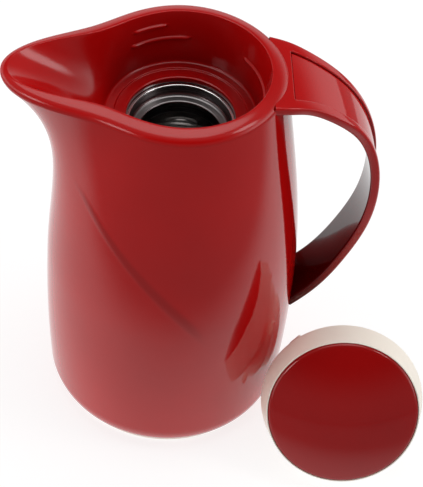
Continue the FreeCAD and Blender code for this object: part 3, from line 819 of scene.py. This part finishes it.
RED = (0.47, 0.003, 0.003)
RIM_RED = (0.44, 0.002, 0.002)
CAP_RED = (0.33, 0.003, 0.003)
CREAM = (0.98, 0.90, 0.79)
STEEL_GREY = (0.42, 0.40, 0.39)
# Neck steel darkened far below the liner's grey: painted shade.
NECK_SHADE_GREY = (0.20, 0.185, 0.185)

red_shell = gloss_plastic("red_shell", RED, 0.06)
add_streak_with_painted_shade(red_shell)
# Painted shade darkens the colour inside the collar's bowl and on the handle's inner face.
red_collar = gloss_plastic("red_collar", RIM_RED, 0.16, (0.06, 0.2, 0.25))
red_handle = gloss_plastic("red_handle", RED, 0.06, (0.12, 0.4, 0.15))
red_panel = gloss_plastic("red_panel", RED, 0.06)
red_cap = gloss_plastic("red_cap", CAP_RED, 0.05)
cream = satin_plastic("cream_plastic", CREAM, 0.38)
liner_steel = spun_steel("liner_steel", STEEL_GREY, 0.16, 0.06)
outer_steel = spun_steel("outer_steel", STEEL_GREY, 0.35)
# Lit and shaded copies of one steel: the lip's near-white colour is a painted highlight, and the neck's
# dark grey is painted shade.
lip_steel_painted_highlight = spun_steel("lip_steel_painted_highlight", (0.97, 0.96, 0.95), 0.15, 0.03)
neck_steel_painted_shade = spun_steel("neck_steel_painted_shade", NECK_SHADE_GREY, 0.28, 0.04)
seal_rubber = soft_rubber("seal_rubber", (0.10, 0.10, 0.10), 0.65)
foot_rubber = soft_rubber("foot_rubber", (0.35, 0.31, 0.27), 0.75)
silicone = soft_rubber("silicone", (0.72, 0.70, 0.65), 0.5)
carrier_plastic = satin_plastic("carrier_plastic", (0.55, 0.55, 0.54), 0.5)
screw_steel = spun_steel("screw_steel", (0.62, 0.60, 0.56), 0.3)
foam = foam_material("foam", (0.85, 0.80, 0.66))


def finish_node(name, material):
    """Gives a carried CAD node its material; its mesh stays as packed."""
    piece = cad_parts[name]
    piece.data.materials.clear()
    piece.data.materials.append(material)


shell_skin(red_shell)
collar_skin(red_collar)
handle_skins(red_handle, red_panel)
flask_skins(neck_steel_painted_shade, lip_steel_painted_highlight)
base_skins(cream, foot_rubber)
lid_skins(red_cap, cream, silicone)
finish_node("flask_inner", liner_steel)
finish_node("flask_outer", outer_steel)
finish_node("flask_getter_cap", outer_steel)
finish_node("neck_seal", seal_rubber)
finish_node("flask_carrier", carrier_plastic)
finish_node("flask_cushion", seal_rubber)
finish_node("base_screws", screw_steel)
finish_node("handle_screw", screw_steel)
finish_node("lid_insulation", foam)


# ---------------------------------------------------------------- stage
FLOOR_GLOW = 0.79          # brightness of the glow painted into the floor round the jug
FLOOR_DIM = 0.12           # and outside the pool of light
FLOOR_PALE = 0.30
FLOOR_HALF = 4.0           # half the floor's width, metres
FLOOR_DROP = 0.0002        # floor below the base, metres
POOL_MIDDLE_Y = 0.45       # middle of the light pool, metres behind the jug
POOL_START = 0.55          # distances from the middle where it starts to dim
POOL_END = 0.66            # and where it is dim


def make_floor():
    """Wide plain floor whose own glow paints a pool of light round the jug."""
    half = FLOOR_HALF
    mesh = bpy.data.meshes.new("floor")
    corners = [(-half, -half, 0), (half, -half, 0), (half, half, 0), (-half, half, 0)]
    mesh.from_pydata(corners, [], [(0, 1, 2, 3)])
    floor = bpy.data.objects.new("floor", mesh)
    floor.location.z = -FLOOR_DROP
    bpy.context.scene.collection.objects.link(floor)
    material, tree, shader = new_material("floor_pale")
    shader.inputs["Base Color"].default_value = (FLOOR_PALE, FLOOR_PALE, FLOOR_PALE, 1.0)
    shader.inputs["Roughness"].default_value = 0.9
    shader.inputs["Specular IOR Level"].default_value = 0.0
    place = tree.nodes.new("ShaderNodeTexCoord")
    away = tree.nodes.new("ShaderNodeVectorMath")
    away.operation = "DISTANCE"
    tree.links.new(place.outputs["Object"], away.inputs[0])
    away.inputs[1].default_value = (0.0, POOL_MIDDLE_Y, 0.0)
    # Painted light: the floor glows by its own emission, bright in the pool round the jug and dim beyond
    # it.
    shader.inputs["Emission Color"].default_value = (1.0, 1.0, 1.0, 1.0)
    glow = smooth_range(tree, away.outputs["Value"], POOL_START, POOL_END, FLOOR_GLOW, FLOOR_DIM)
    tree.links.new(glow, shader.inputs["Emission Strength"])
    mesh.materials.append(material)


def softbox(name, place, aim, width, height, power):
    """Oval soft light at a place, facing a point."""
    data = bpy.data.lights.new(name, "AREA")
    data.shape = "ELLIPSE"
    data.size = width
    data.size_y = height
    data.energy = power
    light = bpy.data.objects.new(name, data)
    light.location = place
    direction = Vector(aim) - Vector(place)
    light.rotation_euler = direction.to_track_quat("-Z", "Y").to_euler()
    bpy.context.scene.collection.objects.link(light)


WALLS = 2.4                # brightness of the studio walls, level with the jug
CEILING_SHARE = 0.15       # ceiling, as a share of the walls
BACK_SHARE = 0.40          # wall behind the jug, as a share of the side walls
FRONT_SHARE = 0.12         # camera side, as a share of the walls


def make_world():
    """White studio walls at the sides, dimmer behind, on the camera side and overhead."""
    world = bpy.data.worlds.new("studio")
    world.use_nodes = True
    tree = world.node_tree
    place = tree.nodes.new("ShaderNodeTexCoord")
    axes = tree.nodes.new("ShaderNodeSeparateXYZ")
    tree.links.new(place.outputs["Generated"], axes.inputs["Vector"])
    upward = smooth_range(tree, axes.outputs["Z"], 0.15, 0.60, WALLS, WALLS * CEILING_SHARE)
    frontward = smooth_range(tree, axes.outputs["Y"], -0.72, -0.28, FRONT_SHARE, 1.0)
    backward = smooth_range(tree, axes.outputs["Y"], 0.2, 0.8, 1.0, BACK_SHARE)
    background = tree.nodes["Background"]
    background.inputs["Color"].default_value = (1.0, 1.0, 1.0, 1.0)
    level = product(tree, product(tree, upward, frontward), backward)
    tree.links.new(level, background.inputs["Strength"])
    bpy.context.scene.world = world


CAMERA_AZIMUTH = -5.0      # degrees; the camera stands a little to the spout's side
CAMERA_PITCH = 48.11
CAMERA_YAW = 1.196
CAMERA_ROLL = 4.927
CAMERA_BACK = 1.000        # metres from the jug's axis, level
CAMERA_HEIGHT = 1.21557
CAMERA_LENS = 208.85


def make_camera():
    """Camera with the photograph's viewing angle and perspective."""
    pitch = math.radians(CAMERA_PITCH)
    yaw = math.radians(CAMERA_YAW)
    roll = math.radians(CAMERA_ROLL)
    forward = Vector((math.sin(yaw) * math.cos(pitch), math.cos(yaw) * math.cos(pitch), -math.sin(pitch)))
    right = forward.cross(Vector((0, 0, 1))).normalized()
    up = right.cross(forward)
    right_rolled = math.cos(roll) * right + math.sin(roll) * up
    up_rolled = -math.sin(roll) * right + math.cos(roll) * up
    turn = Matrix((right_rolled, up_rolled, -forward)).transposed().to_4x4()
    around = Matrix.Rotation(math.radians(CAMERA_AZIMUTH), 4, "Z")
    data = bpy.data.cameras.new("camera")
    data.lens = CAMERA_LENS
    data.clip_start = 0.05
    data.clip_end = 50.0
    camera = bpy.data.objects.new("camera", data)
    camera.matrix_world = around @ Matrix.Translation((0, -CAMERA_BACK, CAMERA_HEIGHT)) @ turn
    bpy.context.scene.collection.objects.link(camera)
    bpy.context.scene.camera = camera


make_floor()
make_world()
softbox("overhead", (0.0, 0.15, 1.5), (0, 0, 0.1), 1.5, 1.0, 8.0)
softbox("key", (-0.76, -0.57, 0.65), (0, 0, 0.1), 0.35, 0.35, 1.5)
softbox("spout_light", (0.73, -0.25, 0.92), (-0.07, 0.01, 0.22), 0.36, 0.36, 1.4)
make_camera()
bpy.context.scene.view_settings.view_transform = "Standard"
